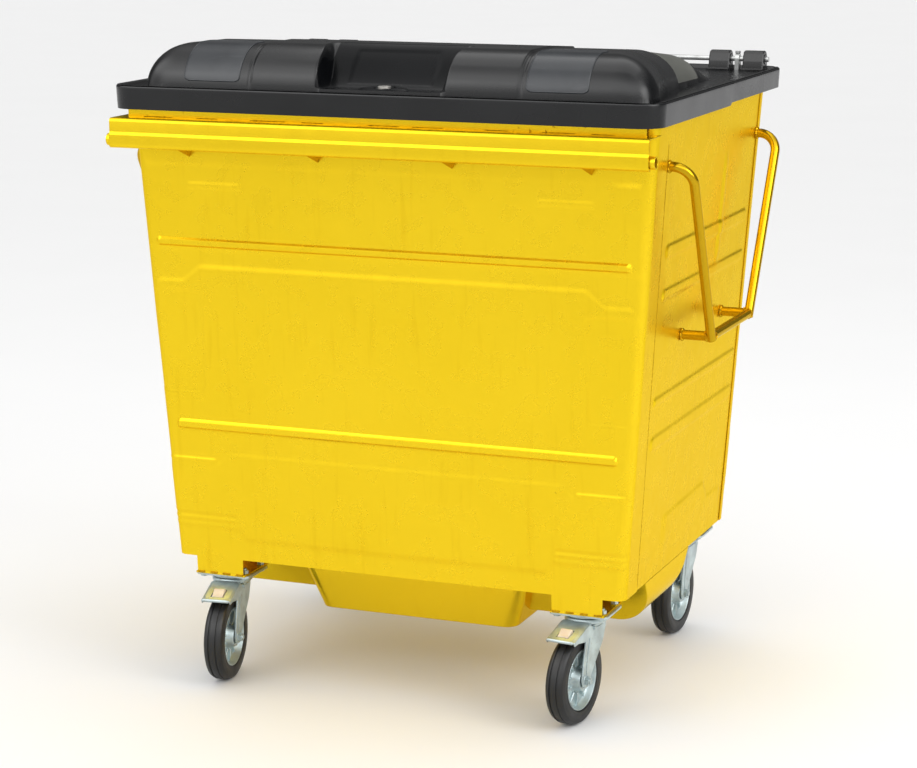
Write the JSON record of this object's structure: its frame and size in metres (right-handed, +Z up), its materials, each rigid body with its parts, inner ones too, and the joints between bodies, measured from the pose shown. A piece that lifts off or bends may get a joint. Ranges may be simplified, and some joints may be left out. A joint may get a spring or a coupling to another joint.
{
  "type": "wheelie bin",
  "caption": "Large steel waste container on swivel casters, with a domed plastic lid on a rear hinge, a comb-lift rail and tubular side handles.",
  "frame": {"origin": "on the floor, under the middle of the overall box", "axes": "+Z up; the front with the lifting rail faces -Y; +X is to the right as seen from the front"},
  "size_m": [1.3328, 0.996, 1.465],
  "materials": {
    "yellow_paint": "gloss",
    "lid_plastic": "fine grained, satin",
    "black_plastic": "matte",
    "zinc_steel": "zinc plated, bluish, satin",
    "galvanised_steel": "galvanised, dull",
    "lock_metal": "worn plating",
    "tyre_rubber": "matte rubber",
    "beige_plastic": "matte",
    "plug_plastic": "matte"
  },
  "bodies": {
    "tub": {"front_panel": "yellow_paint", "rear_panel": "yellow_paint", "left_side_panel": "yellow_paint", "right_side_panel": "yellow_paint", "floor_pan": "yellow_paint", "top_rim": "yellow_paint", "front_rim": "yellow_paint", "lift_rail": "yellow_paint", "lift_tube": "yellow_paint", "rail_darts": "yellow_paint", "left_handle": "yellow_paint", "right_handle": "yellow_paint", "drain_socket": "galvanised_steel", "hinge_rod": "galvanised_steel", "left_hinge_arm": "galvanised_steel", "right_hinge_arm": "galvanised_steel", "rod_screws": "galvanised_steel", "swivel_balls": "zinc_steel", "caster_bolts": "zinc_steel", "caster_nuts": "zinc_steel", "front_left_bracket": "yellow_paint", "front_left_plate": "zinc_steel", "front_right_bracket": "yellow_paint", "front_right_plate": "zinc_steel", "rear_left_bracket": "yellow_paint", "rear_left_plate": "zinc_steel", "rear_right_bracket": "yellow_paint", "rear_right_plate": "zinc_steel"},
    "lid": {"lid_shell": "lid_plastic", "lock_plate": "black_plastic", "left_hinge_blocks": "black_plastic", "right_hinge_blocks": "black_plastic"},
    "lock": {"lock_barrel": "lock_metal"},
    "drain": {"drain_plug": "plug_plastic"},
    "front_left_swivel": {"front_left_fork": "zinc_steel", "front_left_axle": "zinc_steel", "front_left_pedal_pin": "zinc_steel"},
    "front_left_wheel": {"front_left_tyre": "tyre_rubber", "front_left_wheel_rim": "zinc_steel", "front_left_bearing": "plug_plastic"},
    "front_left_brake": {"front_left_pedal": "zinc_steel"},
    "front_left_release": {"front_left_tongue": "beige_plastic"},
    "front_right_swivel": {"front_right_fork": "zinc_steel", "front_right_axle": "zinc_steel", "front_right_pedal_pin": "zinc_steel"},
    "front_right_wheel": {"front_right_tyre": "tyre_rubber", "front_right_wheel_rim": "zinc_steel", "front_right_bearing": "plug_plastic"},
    "front_right_brake": {"front_right_pedal": "zinc_steel"},
    "front_right_release": {"front_right_tongue": "beige_plastic"},
    "rear_left_swivel": {"rear_left_fork": "zinc_steel", "rear_left_axle": "zinc_steel"},
    "rear_left_wheel": {"rear_left_tyre": "tyre_rubber", "rear_left_wheel_rim": "zinc_steel", "rear_left_bearing": "plug_plastic"},
    "rear_right_swivel": {"rear_right_fork": "zinc_steel", "rear_right_axle": "zinc_steel"},
    "rear_right_wheel": {"rear_right_tyre": "tyre_rubber", "rear_right_wheel_rim": "zinc_steel", "rear_right_bearing": "plug_plastic"}
  },
  "joints": [
    {"name": "lid_hinge", "type": "hinge", "parent": "tub", "child": "lid", "pos_m": [0, 0.477, 1.386], "axis": [-1, 0, 0], "range_deg": [0, 265]},
    {"name": "lock_turn", "type": "hinge", "parent": "lid", "child": "lock", "pos_m": [0, -0.41, 1.372], "axis": [0, 0, 1], "range_deg": [0, 90]},
    {"name": "drain_pull", "type": "slide", "parent": "tub", "child": "drain", "axis": [0, 0, -1], "range_m": [0, 0.03]},
    {"name": "front_left_swivel_turn", "type": "hinge", "parent": "tub", "child": "front_left_swivel", "pos_m": [-0.4325, -0.325, 0.227], "axis": [0, 0, 1], "continuous": true},
    {"name": "front_left_wheel_spin", "type": "hinge", "parent": "front_left_swivel", "child": "front_left_wheel", "pos_m": [-0.42484, -0.37946, 0.1], "axis": [0.9903, 0.1392, 0], "continuous": true},
    {"name": "front_left_brake_press", "type": "hinge", "parent": "front_left_swivel", "child": "front_left_brake", "pos_m": [-0.42888, -0.35075, 0.213], "axis": [0.9903, 0.1392, 0], "range_deg": [0, 8]},
    {"name": "front_left_release_press", "type": "hinge", "parent": "front_left_brake", "child": "front_left_release", "pos_m": [-0.42888, -0.35075, 0.213], "axis": [0.9903, 0.1392, 0], "range_deg": [0, 3], "stiffness_Nm_per_rad": 0.5, "springref_deg": -11.46},
    {"name": "front_right_swivel_turn", "type": "hinge", "parent": "tub", "child": "front_right_swivel", "pos_m": [0.4325, -0.325, 0.227], "axis": [0, 0, 1], "continuous": true},
    {"name": "front_right_wheel_spin", "type": "hinge", "parent": "front_right_swivel", "child": "front_right_wheel", "pos_m": [0.42484, -0.37946, 0.1], "axis": [0.9903, -0.1392, 0], "continuous": true},
    {"name": "front_right_brake_press", "type": "hinge", "parent": "front_right_swivel", "child": "front_right_brake", "pos_m": [0.42888, -0.35075, 0.213], "axis": [0.9903, -0.1392, 0], "range_deg": [0, 8]},
    {"name": "front_right_release_press", "type": "hinge", "parent": "front_right_brake", "child": "front_right_release", "pos_m": [0.42888, -0.35075, 0.213], "axis": [0.9903, -0.1392, 0], "range_deg": [0, 3], "stiffness_Nm_per_rad": 0.5, "springref_deg": -11.46},
    {"name": "rear_left_swivel_turn", "type": "hinge", "parent": "tub", "child": "rear_left_swivel", "pos_m": [-0.4325, 0.385, 0.227], "axis": [0, 0, 1], "continuous": true},
    {"name": "rear_left_wheel_spin", "type": "hinge", "parent": "rear_left_swivel", "child": "rear_left_wheel", "pos_m": [-0.4325, 0.33, 0.1], "axis": [1, 0, 0], "continuous": true},
    {"name": "rear_right_swivel_turn", "type": "hinge", "parent": "tub", "child": "rear_right_swivel", "pos_m": [0.4325, 0.385, 0.227], "axis": [0, 0, 1], "continuous": true},
    {"name": "rear_right_wheel_spin", "type": "hinge", "parent": "rear_right_swivel", "child": "rear_right_wheel", "pos_m": [0.42962, 0.33008, 0.1], "axis": [0.9986, -0.0523, 0], "continuous": true}
  ]
}
